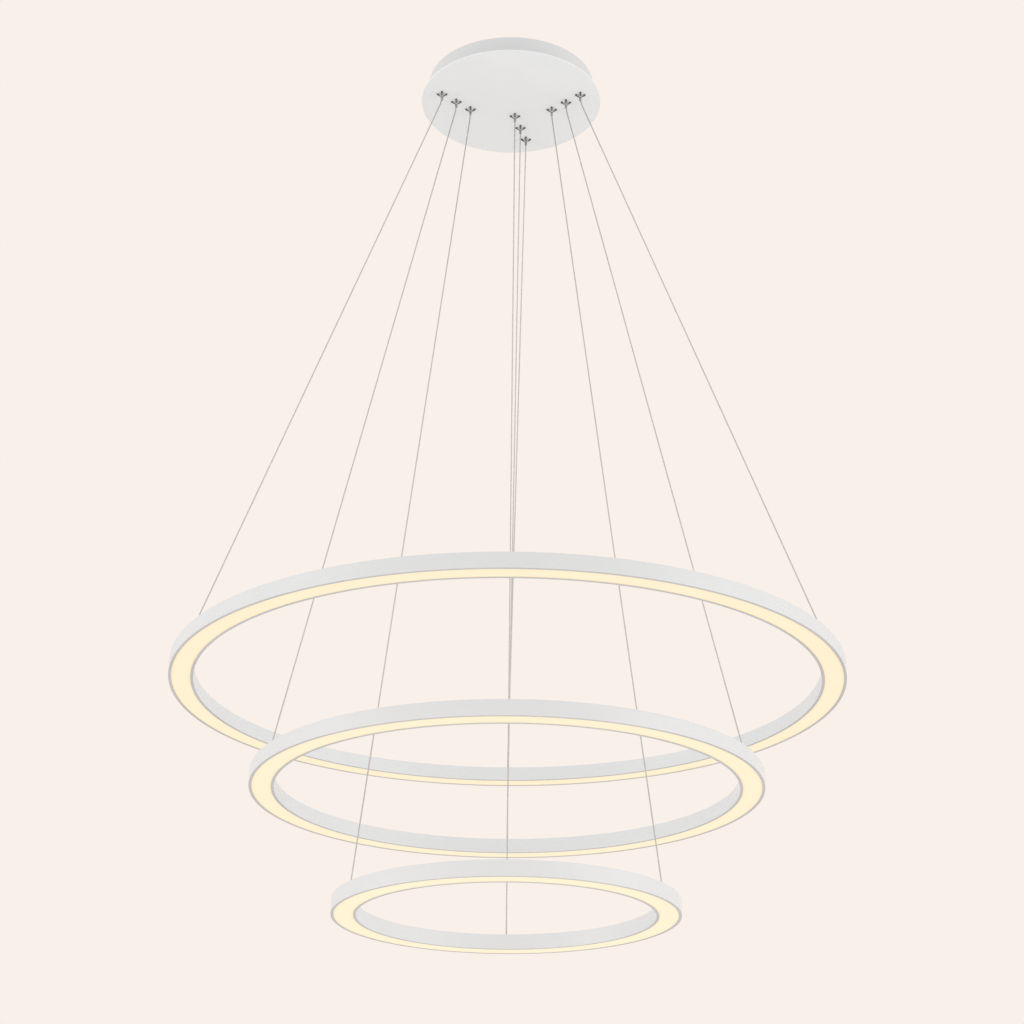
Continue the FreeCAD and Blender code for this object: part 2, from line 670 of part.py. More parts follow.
broken = [o.Name for o in doc.Objects
          if any(word in o.State for word in ("Invalid", "Error"))]
for part in parts:
    part.Label = part.Name
    if part.Shape.isNull() or not part.Shape.isValid() or not part.Shape.Solids:
        broken.append(part.Name)
if broken:
    raise RuntimeError(f"these objects failed: {sorted(set(broken))}")

os.makedirs("parts", exist_ok=True)
for part in parts:
    part.Shape.exportStep(f"parts/{part.Label}.step")
print(f"{len(parts)} nodes, {sum(len(part.Shape.Solids) for part in parts)} solids")
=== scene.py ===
import bpy
import bmesh
import math
import numpy as np
from mathutils import Matrix


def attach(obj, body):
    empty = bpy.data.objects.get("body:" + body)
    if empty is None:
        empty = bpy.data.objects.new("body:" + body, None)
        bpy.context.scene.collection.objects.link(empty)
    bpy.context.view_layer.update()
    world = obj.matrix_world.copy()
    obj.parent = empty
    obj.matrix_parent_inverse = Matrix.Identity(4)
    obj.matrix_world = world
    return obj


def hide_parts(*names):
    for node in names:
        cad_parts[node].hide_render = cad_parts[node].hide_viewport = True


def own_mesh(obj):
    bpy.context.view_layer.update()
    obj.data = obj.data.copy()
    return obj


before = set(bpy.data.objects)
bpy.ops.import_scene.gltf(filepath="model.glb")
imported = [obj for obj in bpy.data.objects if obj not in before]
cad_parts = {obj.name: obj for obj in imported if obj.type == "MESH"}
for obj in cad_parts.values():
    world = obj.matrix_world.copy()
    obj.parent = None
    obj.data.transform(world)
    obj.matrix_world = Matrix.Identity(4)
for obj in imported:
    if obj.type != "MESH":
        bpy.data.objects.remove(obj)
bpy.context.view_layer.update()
print("frame loaded:", len(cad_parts), "nodes")

ringNames = ("large", "medium", "small")
sideNames = ("left", "right", "back")


def linkObject(name, data):
    made = bpy.data.objects.new(name, data)
    bpy.context.scene.collection.objects.link(made)
    return made


def turnObject(turned, right, above, back, place):
    # The columns are the ways in which the object's own x, y and z point, and its place.
    columns = np.eye(4)
    columns[:3] = np.column_stack([right, above, back, place])
    turned.matrix_world = Matrix(columns.tolist())


cameraView = {
    "place": (0.0041614, -2.4225623, -1.6697129),
    "pitch": 0.4069,  # radians above level
    "roll": 0.0054,
    "lens": 75.159, "sensor": 36, "farthest": 60,
}


def setUpCamera(view):
    # Right and above are turned by a small roll about the view line.
    camera = linkObject("viewCamera", bpy.data.cameras.new("viewCamera"))
    camera.data.lens = view["lens"]
    camera.data.sensor_width = view["sensor"]
    camera.data.clip_end = view["farthest"]
    right = np.array([1.0, 0.0, 0.0])
    ahead = np.array([0.0, math.cos(view["pitch"]), math.sin(view["pitch"])])
    above = np.cross(right, ahead)
    mostly, slightly = math.cos(view["roll"]), math.sin(view["roll"])
    turnObject(camera, mostly * right + slightly * above,
               mostly * above - slightly * right, -ahead, view["place"])
    bpy.context.scene.camera = camera


setUpCamera(cameraView)
print("camera placed")


def cellNumbers(rows, columns, closeRows, closeColumns):
    # Row and column of every cell of a grid of points. A closed side has one cell more.
    return np.meshgrid(np.arange(rows - (not closeRows)),
                       np.arange(columns - (not closeColumns)), indexing="ij")


def gridQuads(rows, columns, closeRows, closeColumns):
    # Four point numbers for each cell of a grid whose points are numbered row by row.
    row, column = cellNumbers(rows, columns, closeRows, closeColumns)
    nextRow, nextColumn = (row + 1) % rows, (column + 1) % columns
    return np.stack([row * columns + column, nextRow * columns + column,
                     nextRow * columns + nextColumn, row * columns + nextColumn],
                    -1).reshape(-1, 4)


def textureCorners(texture, rows, columns, closeRows, closeColumns):
    # Texture places run on past the seam instead of jumping back to the start.
    rowStep, columnStep = (np.asarray(steps, float) for steps in texture)
    row, column = cellNumbers(rows, columns, closeRows, closeColumns)
    corners = [(row, column), (row + 1, column), (row + 1, column + 1), (row, column + 1)]
    rowPlace = np.append(rowStep, rowStep[-1] * 2 - rowStep[-2])
    columnPlace = np.append(columnStep, columnStep[-1] * 2 - columnStep[-2])
    return np.stack([np.stack([columnPlace[c], rowPlace[r]], -1) for r, c in corners],
                    2).reshape(-1, 4, 2)


joinDistance = 0.0000001  # points nearer than this become one
nearlyAlong = 0.9  # a direction's share along an axis that makes the axis a bad guide


def roundedOutline(corners, reaches, steps):
    # Each corner becomes the parabola (1-t)^2 before + 2t(1-t) corner + t^2 after, where
    # before and after lie on its two sides. One more point past each end keeps the
    # shading of the flats flat.
    corners = np.array(corners, float)
    reach = np.broadcast_to(np.array(reaches, float), len(corners))[:, None]
    toLast, toNext = np.roll(corners, 1, 0) - corners, np.roll(corners, -1, 0) - corners
    toLast /= np.linalg.norm(toLast, axis=1)[:, None]
    toNext /= np.linalg.norm(toNext, axis=1)[:, None]
    t = np.linspace(0, 1, steps + 1)[None, :, None]
    before = (corners + toLast * reach)[:, None]
    after = (corners + toNext * reach)[:, None]
    bend = (1 - t) ** 2 * before + 2 * t * (1 - t) * corners[:, None] + t ** 2 * after
    past = reach[:, None] * 0.5
    return np.concatenate([before + toLast[:, None] * past, bend,
                           after + toNext[:, None] * past], 1).reshape(-1, 2)


def turnedGrid(outline, segments, centre):
    # The outline's (radius, height) carried round a circle about the vertical.
    angle = np.linspace(0, 2 * math.pi, segments, endpoint=False)[:, None]
    radius, height = outline[None, :, 0], outline[None, :, 1]
    return np.stack([radius * np.cos(angle), radius * np.sin(angle),
                     height + 0 * angle], -1) + np.array(centre, float)


def sweptGrid(path, first, second, radii, sides):
    # Circles round the points of a path, in the plane of two directions at each point.
    # A point in the middle of each end closes it.
    angle = np.linspace(0, 2 * math.pi, sides, endpoint=False)[None, :, None]
    radius = np.broadcast_to(np.array(radii, float), len(path))[:, None, None]
    circles = path[:, None] + radius * (np.cos(angle) * first[:, None]
                                        + np.sin(angle) * second[:, None])
    start, end = (np.broadcast_to(path[i], (1, sides, 3)) for i in (0, -1))
    return np.concatenate([start, circles, end])


def pathDirections(path):
    along = np.gradient(path, axis=0)
    return along / np.linalg.norm(along, axis=1)[:, None]


def closedTube(path, radii, sides):
    # The circles' two directions come from one guide, which isn't near the path's own
    # direction, made square to the path at each point.
    along = pathDirections(path)
    upright = abs(along[0, 1]) < nearlyAlong
    guide = np.array([0.0, 1.0, 0.0] if upright else [1.0, 0.0, 0.0])
    first = guide - (along @ guide)[:, None] * along
    first /= np.linalg.norm(first, axis=1)[:, None]
    return sweptGrid(path, first, np.cross(along, first), radii, sides)


def addPiece(name, grids, finishes, body, replaced, sharp=35):
    # Every grid is (points, closeRows, closeColumns, finish numbers, texture places).
    # The points stay where they are, so the object sits at the origin.
    points, quads, finishIndex, places, count = [], [], [], [], 0
    for grid, closeRows, closeColumns, finish, texture in grids:
        rows, columns = grid.shape[:2]
        cells = gridQuads(rows, columns, closeRows, closeColumns)
        points.append(grid.reshape(-1, 3))
        quads.append(cells + count)
        finishIndex.append(np.broadcast_to(np.array(finish), len(cells)))
        places.append(np.zeros((len(cells), 4, 2)) if texture is None else
                      textureCorners(texture, rows, columns, closeRows, closeColumns))
        count += rows * columns
    mesh = bpy.data.meshes.new(name)
    mesh.from_pydata(np.concatenate(points), [], np.concatenate(quads))
    mesh.polygons.foreach_set("material_index",
                              np.concatenate(finishIndex).astype(np.int32))
    layer = mesh.uv_layers.new(name="surfaceMap")
    layer.data.foreach_set("uv", np.concatenate(places).astype(np.float32).ravel())
    joined = bmesh.new()
    joined.from_mesh(mesh)
    bmesh.ops.remove_doubles(joined, verts=joined.verts, dist=joinDistance)
    bmesh.ops.recalc_face_normals(joined, faces=joined.faces)
    joined.to_mesh(mesh)
    joined.free()
    mesh.shade_smooth()
    mesh.set_sharp_from_angle(angle=math.radians(sharp))
    for finish in finishes:
        mesh.materials.append(finish)
    piece = linkObject(name, mesh)
    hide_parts(*replaced)
    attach(piece, body)
    return piece


def finishNode(name, finish):
    # A CAD node that stays gets its finish in every material slot of its object.
    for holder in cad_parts[name].material_slots:
        holder.material = finish


def feed(tree, socket, value):
    # An input is linked to another node's socket, or set to a value of its own.
    if isinstance(value, bpy.types.NodeSocket):
        tree.links.new(value, socket)
    else:
        socket.default_value = value


def addNode(tree, kind, settings=None, **inputs):
    # An input goes by its name, or by its number with an i in front.
    node = tree.nodes.new(kind)
    for key, value in (settings or {}).items():
        setattr(node, key, value)
    for key, value in inputs.items():
        numbered = key[0] == "i" and key[1:].isdigit()
        feed(tree, node.inputs[int(key[1:]) if numbered else key], value)
    return node


def objectPlace(tree):
    return addNode(tree, "ShaderNodeTexCoord").outputs["Object"]


def surfacePlace(tree):
    # The two texture places of a piece's own surface.
    place = addNode(tree, "ShaderNodeUVMap", {"uv_map": "surfaceMap"}).outputs[0]
    return addNode(tree, "ShaderNodeSeparateXYZ", Vector=place).outputs[:2]


def noise(tree, place, scale, detail):
    return addNode(tree, "ShaderNodeTexNoise", Vector=place, Scale=scale,
                   Detail=detail).outputs[0]


def maths(tree, operation, first, second):
    return addNode(tree, "ShaderNodeMath", {"operation": operation},
                   i0=first, i1=second).outputs[0]


def mixColours(tree, factor, first, second):
    return addNode(tree, "ShaderNodeMix", {"data_type": "RGBA"},
                   i0=factor, i6=first, i7=second).outputs[2]


def remap(tree, value, span, newLow=0.0, newHigh=1.0):
    return addNode(tree, "ShaderNodeMapRange", i0=value, i1=span[0], i2=span[1],
                   i3=newLow, i4=newHigh).outputs[0]


wearSpan = (0.3, 0.7)  # where most of a noise lies


def newGroup(name, inputs):
    # Every effect takes its own inputs and a span of roughness. It gives a colour, a
    # roughness, and a height for the bump.
    group = bpy.data.node_groups.new(name, "ShaderNodeTree")
    roughness = (("Smoothest", "Float", 0.3), ("Roughest", "Float", 0.5))
    for label, kind, value in (*inputs, *roughness):
        socket = group.interface.new_socket(label, in_out="INPUT",
                                            socket_type=f"NodeSocket{kind}")
        socket.default_value = value
    for label, kind in (("Color", "Color"), ("Roughness", "Float"), ("Height", "Float")):
        group.interface.new_socket(label, in_out="OUTPUT",
                                   socket_type=f"NodeSocket{kind}")
    return group, group.nodes.new("NodeGroupInput").outputs


def closeGroup(group, given, colour, wear, height):
    out = group.nodes.new("NodeGroupOutput")
    rough = remap(group, wear, wearSpan, given["Smoothest"], given["Roughest"])
    for label, socket in (("Color", colour), ("Roughness", rough), ("Height", height)):
        group.links.new(socket, out.inputs[label])
    return group


coatLook = {
    "driftScale": 9.0, "driftSpan": (0.35, 0.7),
    "dustScale": 620.0, "dustSpan": (0.66, 0.78), "dustMost": 0.35,
    "dust": (0.62, 0.6, 0.57, 1),
    "rippleScale": 900.0,
    "smoothest": 0.32, "roughest": 0.46, "specular": 0.35,
    "bump": (0.035, 0.0001),  # strength, distance
}
metalLook = {
    "cloudScale": 160.0, "cloudSpan": (0.38, 0.68),
    "bump": 0.05, "bumpDistance": 0.00005,
}
mouldedLook = {
    "grainScale": 1400.0, "patchScale": 45.0, "patchSpan": (0.4, 0.72),
    "bump": (0.12, 0.0001),
}


def makeCoatGroup(look):
    # Sprayed coat: slow drifts of tone, fine ripples like orange peel, and grey dust.
    group, given = newGroup("sprayedCoat", [
        ("Coat", "Color", (0.8, 0.8, 0.8, 1)),
        ("Drift", "Color", (0.75, 0.75, 0.75, 1))])
    place = objectPlace(group)
    slow = noise(group, place, look["driftScale"], 3.0)
    tone = mixColours(group, remap(group, slow, look["driftSpan"]),
                      given["Coat"], given["Drift"])
    specks = noise(group, place, look["dustScale"], 1.0)
    dusted = mixColours(group, remap(group, specks, look["dustSpan"], 0.0,
                                     look["dustMost"]), tone, look["dust"])
    ripple = noise(group, place, look["rippleScale"], 2.0)
    return closeGroup(group, given, dusted, slow, ripple)


def makeMetalGroup(look):
    # Worked metal: fine lines drawn along one axis, and cloudy tarnish.
    group, given = newGroup("workedMetal", [
        ("Metal", "Color", (0.5, 0.5, 0.5, 1)),
        ("Tarnish", "Color", (0.4, 0.4, 0.4, 1)),
        ("Line Scale", "Vector", (200, 200, 3000))])
    place = objectPlace(group)
    cloud = noise(group, place, look["cloudScale"], 4.0)
    tone = mixColours(group, remap(group, cloud, look["cloudSpan"]),
                      given["Metal"], given["Tarnish"])
    stretched = addNode(group, "ShaderNodeVectorMath", {"operation": "MULTIPLY"},
                        i0=place, i1=given["Line Scale"]).outputs[0]
    lines = noise(group, stretched, 1.0, 2.0)
    return closeGroup(group, given, tone, lines, lines)


def makeMouldedGroup(look):
    # Moulded plastic: a grain of small cells, and slight greying in patches.
    group, given = newGroup("mouldedPlastic", [
        ("Plastic", "Color", (0.1, 0.1, 0.1, 1)),
        ("Greyed", "Color", (0.15, 0.15, 0.15, 1))])
    place = objectPlace(group)
    cells = addNode(group, "ShaderNodeTexVoronoi", Vector=place,
                    Scale=look["grainScale"]).outputs[0]
    patches = noise(group, place, look["patchScale"], 5.0)
    tone = mixColours(group, remap(group, patches, look["patchSpan"]),
                      given["Plastic"], given["Greyed"])
    return closeGroup(group, given, tone, patches, cells)


coatGroup, metalGroup = makeCoatGroup(coatLook), makeMetalGroup(metalLook)
mouldedGroup = makeMouldedGroup(mouldedLook)


def newMaterial(name, shaderValues):
    material = bpy.data.materials.new(name)
    material.use_nodes = True
    shader = material.node_tree.nodes["Principled BSDF"]
    for key, value in shaderValues.items():
        shader.inputs[key].default_value = value
    return material, material.node_tree, shader


def addRelief(tree, shader, height, bump):
    relief = addNode(tree, "ShaderNodeBump", Height=height, Strength=bump[0],
                     Distance=bump[1])
    tree.links.new(relief.outputs[0], shader.inputs["Normal"])


def effectMaterial(name, group, groupValues, shaderValues, bump):
    material, tree, shader = newMaterial(name, shaderValues)
    effect = tree.nodes.new("ShaderNodeGroup")
    effect.node_tree = group
    for key, value in groupValues.items():
        effect.inputs[key].default_value = value
    tree.links.new(effect.outputs["Color"], shader.inputs["Base Color"])
    tree.links.new(effect.outputs["Roughness"], shader.inputs["Roughness"])
    addRelief(tree, shader, effect.outputs["Height"], bump)
    return material


def grey(level, warmth):
    return (level * (1 + warmth), level, level * (1 - warmth), 1)


def coat(name, level, drift, warmth):
    return effectMaterial(name, coatGroup, {
        "Coat": grey(level, warmth), "Drift": grey(drift, warmth),
        "Smoothest": coatLook["smoothest"], "Roughest": coatLook["roughest"]},
        {"Specular IOR Level": coatLook["specular"]}, coatLook["bump"])


def metal(name, level, tarnish, warmth, smoothest, roughest, lines,
          bump=metalLook["bump"]):
    return effectMaterial(name, metalGroup, {
        "Metal": grey(level, warmth), "Tarnish": grey(tarnish, warmth),
        "Smoothest": smoothest, "Roughest": roughest, "Line Scale": lines},
        {"Metallic": 1.0}, (bump, metalLook["bumpDistance"]))


def moulded(name, level, greyed, warmth, smoothest, roughest):
    return effectMaterial(name, mouldedGroup, {
        "Plastic": grey(level, warmth), "Greyed": grey(greyed, warmth),
        "Smoothest": smoothest, "Roughest": roughest}, {}, mouldedLook["bump"])


# Painted shade: the rings' outer and inner walls get darker copies of the plate's white
# paint, their levels set for how the light falls on each wall.
ringOuterShadedCoat = coat("ringOuterShadedCoat", 0.735, 0.72, -0.004)
ringInnerShadedCoat = coat("ringInnerShadedCoat", 0.745, 0.73, -0.004)
# Painted shade: the lips' faces get a darker grey copy of the white paint, standing in
# for the shade along the diffuser's edges.
ringLipShadeCoat = coat("ringLipShadeCoat", 0.52, 0.49, 0.015)
plateCoat = coat("plateCoat", 0.835, 0.82, -0.008)
# Painted shade: the drum gets a darker copy of the plate's white paint, standing in for
# the shade under the plate's overhang.
drumShadedCoat = coat("drumShadedCoat", 0.68, 0.665, -0.004)
holderNickel = metal("holderNickel", 0.13, 0.10, 0.01, 0.18, 0.32, (300, 300, 2500))
hubNickel = metal("hubNickel", 0.72, 0.62, 0.01, 0.2, 0.34, (200, 200, 3500))
ballNickel = metal("ballNickel", 0.42, 0.34, 0.01, 0.14, 0.28, (200, 200, 3500))
nutNickel = metal("nutNickel", 0.5, 0.42, 0.01, 0.2, 0.36, (900, 900, 200))
zincSteel = metal("zincSteel", 0.55, 0.43, -0.015, 0.28, 0.5, (60, 900, 900), 0.1)
screwSteel = metal("screwSteel", 0.3, 0.24, -0.01, 0.25, 0.42, (2500, 200, 200))
springSteel = metal("springSteel", 0.42, 0.33, 0.0, 0.2, 0.36, (900, 900, 900))
anchorNickel = metal("anchorNickel", 0.52, 0.45, 0.01, 0.18, 0.34, (300, 300, 2500))
driverCase = moulded("driverCase", 0.72, 0.66, 0.02, 0.42, 0.62)
terminalPlastic = moulded("terminalPlastic", 0.6, 0.52, 0.03, 0.38, 0.6)
print("finishes made")


ringSizes = {
    "large": {"radius": 0.400, "underside": -0.860},
    "medium": {"radius": 0.300, "underside": -0.985},
    "small": {"radius": 0.200, "underside": -1.130},
    "width": 0.029,
    "height": 0.018,
    "travel": 0.3,  # how far each can be raised
}
wireSizes = {
    "diameter": 0.0016,
    "top": -0.0140,  # its start, inside the canopy
    "bend": -0.0390,  # where it leaves the plunger
    "anchorHeight": 0.0024, "footLead": 0.0008, "socket": 0.0012,
    "nearEdge": 0.0096,  # the long run starts and ends this near the two corners
    "curveSteps": 10,
    "sides": 16, "strands": 6, "lay": 0.0095,
    "lengths": {
        "large_left": 0.8783, "large_right": 0.8783, "large_back": 0.8813,
        "medium_left": 0.9767, "medium_right": 0.9767, "medium_back": 0.9796,
        "small_left": 1.1062, "small_right": 1.1062, "small_back": 1.1082},
}
holderPlaces = {
    "large_left": (-0.0922574, -0.0218087), "large_right": (0.0922574, -0.0218087),
    "large_back": (0.0204633, 0.0858961),
    "medium_left": (-0.0735347, -0.0043496), "medium_right": (0.0735347, -0.0043496),
    "medium_back": (0.0128282, 0.0574013),
    "small_left": (-0.0548120, 0.0131096), "small_right": (0.0548120, 0.0131096),
    "small_back": (0.0051930, 0.0289065),
}
anchorAngles = {"left": 200, "right": -20, "back": 90}  # degrees


def ringTop(ring):
    return ringSizes[ring]["underside"] + ringSizes["height"]


def anchorPlace(ring, side):
    middle = ringSizes[ring]["radius"] - ringSizes["width"] / 2
    angle = math.radians(anchorAngles[side])
    return middle * math.cos(angle), middle * math.sin(angle)


def wireRoute(ring, side, size):
    # Down through the plunger, one straight run to the ring, and into the anchor.
    holder, anchor = holderPlaces[f"{ring}_{side}"], anchorPlace(ring, side)
    anchorTop = ringTop(ring) + size["anchorHeight"]
    top = np.array([*holder, size["top"]])
    bend = np.array([*holder, size["bend"]])
    foot = np.array([*anchor, anchorTop + size["footLead"]])
    end = np.array([*anchor, anchorTop - size["socket"]])
    nearEdge = (foot - bend) / np.linalg.norm(foot - bend) * size["nearEdge"]
    return np.array([top, bend, bend + nearEdge, foot - nearEdge, foot, end])


def smoothPath(points, resolution):
    # The route's own smooth curve, read back as the points of its line.
    curve = bpy.data.curves.new("routeCurve", "CURVE")
    curve.dimensions = "3D"
    spline = curve.splines.new("NURBS")
    spline.points.add(len(points) - 1)
    weighted = np.column_stack([points, np.ones(len(points))])
    spline.points.foreach_set("co", weighted.ravel())
    spline.order_u = 3
    spline.use_endpoint_u = True
    spline.resolution_u = resolution
    holder = linkObject("routeCurve", curve)
    bpy.context.view_layer.update()
    line = bpy.data.meshes.new_from_object(holder)
    path = np.zeros(len(line.vertices) * 3)
    line.vertices.foreach_get("co", path)
    bpy.data.objects.remove(holder)
    bpy.data.curves.remove(curve)
    bpy.data.meshes.remove(line)
    return path.reshape(-1, 3)


wireLook = {
    "steel": (0.55, 0.55, 0.54, 1), "worn": (0.49, 0.49, 0.48, 1),
    "grooveShade": (0.38, 0.38, 0.37, 1), "grooveShadeWidth": 0.16,
    "spotScale": 300.0, "smoothest": 0.45, "roughest": 0.6,
    "bump": (0.3, 0.0001),
}


def makeWireFinish(look, strands, lay):
    # Strands wound round the wire: a wave across the turns that moves on with length,
    # with painted shade in the grooves between the strands.
    material, tree, shader = newMaterial("strandedSteel", {"Metallic": 1.0})
    turn, length = surfacePlace(tree)
    around = maths(tree, "MULTIPLY", turn, float(strands))
    onward = maths(tree, "MULTIPLY", length, strands / lay)
    wave = maths(tree, "PINGPONG", maths(tree, "ADD", around, onward), 0.5)
    spots = noise(tree, objectPlace(tree), look["spotScale"], 3.0)
    steel = mixColours(tree, spots, look["steel"], look["worn"])
    # Painted shade: the grooves between the strands are darkened.
    grooveShade = remap(tree, wave, (0.0, look["grooveShadeWidth"]))
    tree.links.new(mixColours(tree, grooveShade, look["grooveShade"], steel),
                   shader.inputs["Base Color"])
    tree.links.new(remap(tree, spots, wearSpan, look["smoothest"], look["roughest"]),
                   shader.inputs["Roughness"])
    # The root of the wave rises steeply from the groove, so each strand is domed.
    addRelief(tree, shader, maths(tree, "POWER", wave, 0.5), look["bump"])
    return material


def makeWire(ring, side, finish):
    path = smoothPath(wireRoute(ring, side, wireSizes), wireSizes["curveSteps"])
    grid = closedTube(path, wireSizes["diameter"] / 2, wireSizes["sides"])
    lengths = np.append(0, np.cumsum(np.linalg.norm(np.diff(path, axis=0), axis=1)))
    rowPlaces = np.concatenate([[0], lengths, [lengths[-1]]])
    around = np.arange(wireSizes["sides"]) / wireSizes["sides"]
    wire = addPiece(f"{ring}{side.capitalize()}Wire",
                    [(grid, False, True, 0, (rowPlaces, around))], [finish],
                    "canopy", [f"{ring}_{side}_wire"])
    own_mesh(wire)


wireFinish = makeWireFinish(wireLook, wireSizes["strands"], wireSizes["lay"])
for ring in ringNames:
    for side in sideNames:
        makeWire(ring, side, wireFinish)
print("wires strung")


channelSizes = {
    "wall": 0.0013, "web": 0.0016,
    "lip": 0.0034, "ledgeWidth": 0.0009, "ledgeHeight": 0.0008, "seat": 0.0026,
    "edge": 0.0004, "topEdge": 0.00048, "lipEdge": 0.00015, "innerEdge": 0.0001,
    "nearFace": 0.0002,  # the lips' painted shade and the top's finish reach this far round the edge
    "edgeSteps": 4, "segments": 448,
}


def ringFrame(ring, size):
    outer, low = ringSizes[ring]["radius"], ringSizes[ring]["underside"]
    inner, top = outer - ringSizes["width"], ringSizes["height"]
    wall, lip, seat = size["wall"], size["lip"], size["seat"]
    ledge, shelf = lip + size["ledgeWidth"], seat + size["ledgeHeight"]
    web = top - size["web"]
    corners = [(inner, 0), (inner + lip, 0), (inner + lip, seat), (inner + ledge, seat),
               (inner + ledge, shelf), (inner + wall, shelf), (inner + wall, web),
               (outer - wall, web), (outer - wall, shelf), (outer - ledge, shelf),
               (outer - ledge, seat), (outer - lip, seat), (outer - lip, 0), (outer, 0),
               (outer, top), (inner, top)]
    reaches = ([size["edge"], size["lipEdge"]] + [size["innerEdge"]] * 10
               + [size["lipEdge"], size["edge"]] + [size["topEdge"]] * 2)
    outline = roundedOutline(corners, reaches, size["edgeSteps"])
    # The finish goes by the middle of each side of the outline: 0 is the outer half and
    # the top, 1 the inner half and 2 the lips' faces. All three are the same white paint.
    # 0 and 1 carry painted shade at levels set for the light on each wall, and 2 is
    # painted shade along the diffuser's edges.
    middles = (outline + np.roll(outline, -1, 0)) / 2
    finish = np.where(middles[:, 0] > (inner + outer) / 2, 0, 1)
    finish[middles[:, 1] < size["nearFace"]] = 2
    finish[middles[:, 1] > top - size["nearFace"]] = 0
    grid = turnedGrid(outline, size["segments"], (0, 0, low))
    addPiece(f"{ring}RingChannel",
             [(grid, True, True, np.tile(finish, size["segments"]), None)],
             [ringOuterShadedCoat, ringInnerShadedCoat, ringLipShadeCoat],
             f"{ring}_ring", [f"{ring}_ring_frame"])


diffuserSizes = {
    "gap": 0.00005, "recess": 0.0004, "thickness": 0.0022, "round": 0.0003,
    "crown": 0.00012, "crownShare": 0.96, "crownPoints": 13, "edgeSteps": 3,
}


def ringDiffuser(ring, finish, size):
    outer, low = ringSizes[ring]["radius"], ringSizes[ring]["underside"]
    inner = outer - ringSizes["width"] + channelSizes["lip"] + size["gap"]
    outer = outer - channelSizes["lip"] - size["gap"]
    bottom, top = size["recess"], size["recess"] + size["thickness"]
    corners = [(outer, bottom), (outer, top), (inner, top), (inner, bottom)]
    outline = roundedOutline(corners, size["round"], size["edgeSteps"])
    # The face is crowned: it hangs lowest in its middle, and less by the square of the
    # distance from there.
    across = np.linspace(-1, 1, size["crownPoints"] + 2)[1:-1]
    face = np.column_stack([
        (inner + outer) / 2 + across * (outer - inner) / 2 * size["crownShare"],
        bottom - size["crown"] * (1 - across ** 2)])
    outline = np.concatenate([outline, face])
    grid = turnedGrid(outline, channelSizes["segments"], (0, 0, low))
    around = np.linspace(0, 1, channelSizes["segments"], endpoint=False)
    share = (outline[:, 0] - inner) / (outer - inner)
    addPiece(f"{ring}RingOpal", [(grid, True, True, 0, (around, share))], [finish],
             f"{ring}_ring", [f"{ring}_ring_diffuser"])


opalLook = {
    "middle": ((0.815, 0.69, 0.475, 1), (0.81, 0.68, 0.465, 1)),
    "rim": (0.76, 0.62, 0.405, 1), "rimShare": 0.14,
    "plastic": ((0.17, 0.16, 0.13, 1), (0.15, 0.14, 0.11, 1)),
    "cloudScale": 26.0, "roughness": 0.45, "specular": 0.3,
}


def makeOpalFinish(look):
    # Lit opal: brightest along the middle, a little warmer and dimmer near both edges,
    # with a very faint cloudiness in the plastic.
    material, tree, shader = newMaterial("litOpal", {
        "Emission Strength": 1.0, "Roughness": look["roughness"],
        "Specular IOR Level": look["specular"]})
    across = maths(tree, "PINGPONG", surfacePlace(tree)[0], 0.5)
    clouds = noise(tree, objectPlace(tree), look["cloudScale"], 2.0)
    glow = mixColours(tree, remap(tree, across, (0.0, look["rimShare"]), 1.0, 0.0),
                      mixColours(tree, clouds, *look["middle"]), look["rim"])
    tree.links.new(glow, shader.inputs["Emission Color"])
    tree.links.new(mixColours(tree, clouds, *look["plastic"]),
                   shader.inputs["Base Color"])
    return material


boardLook = {
    "thickness": 0.001,
    "chipSpan": (-0.0002, -0.0004),  # heights from the board's underside
    "mask": ((0.8, 0.8, 0.78, 1), (0.72, 0.72, 0.7, 1)),
    "phosphor": ((0.85, 0.6, 0.12, 1), (0.78, 0.52, 0.09, 1)),
    "spotScale": 120.0, "roughness": 0.4,
}


def makeBoardFinish(ring, look):
    # White solder mask above, yellow phosphor on the chips that stand below it.
    material, tree, shader = newMaterial(f"{ring}Board", {"Roughness": look["roughness"]})
    place = objectPlace(tree)
    height = addNode(tree, "ShaderNodeSeparateXYZ", Vector=place).outputs[2]
    underside = ringTop(ring) - channelSizes["web"] - look["thickness"]
    chip = remap(tree, height, [underside + step for step in look["chipSpan"]])
    spots = noise(tree, place, look["spotScale"], 3.0)
    tree.links.new(mixColours(tree, chip, mixColours(tree, spots, *look["mask"]),
                              mixColours(tree, spots, *look["phosphor"])),
                   shader.inputs["Base Color"])
    return material


buttonSizes = {
    "outline": [  # radius, height above the ring, reach of the rounding
        (0.00095, 0.0012, 0), (0.00095, 0.0014, 0.0001), (0.0019, 0.0024, 0.0002),
        (0.0040, 0.0021, 0.0003), (0.0045, 0.0016, 0.0002), (0.0044, 0.0011, 0.0002),
        (0.0045, 0.0, 0.0001), (0.0020, 0.0, 0), (0.0020, -0.0016, 0.0001),
        (0.0, -0.0016, 0), (0.0, 0.0012, 0)],
    "edgeSteps": 3, "segments": 48,
}


def anchorButtons(ring, size):
    # Turned outline of the button: bevelled rim, a shallow waist and a sloping top round
    # the countersunk socket, so that the wire can lean over as its ring is raised.
    profile = np.array(size["outline"])
    outline = roundedOutline(profile[:, :2], profile[:, 2], size["edgeSteps"])
    outline[:, 0] = np.maximum(outline[:, 0], 0)
    places = [(*anchorPlace(ring, side), ringTop(ring)) for side in sideNames]
    grids = [(turnedGrid(outline, size["segments"], place), True, True, 0, None)
             for place in places]
    addPiece(f"{ring}RingButtons", grids, [anchorNickel], f"{ring}_ring",
             [f"{ring}_ring_wire_anchors"])


opalFinish = makeOpalFinish(opalLook)
for ring in ringNames:
    ringFrame(ring, channelSizes)
    ringDiffuser(ring, opalFinish, diffuserSizes)
    anchorButtons(ring, buttonSizes)
    finishNode(f"{ring}_ring_led_strip", makeBoardFinish(ring, boardLook))
print("rings made")


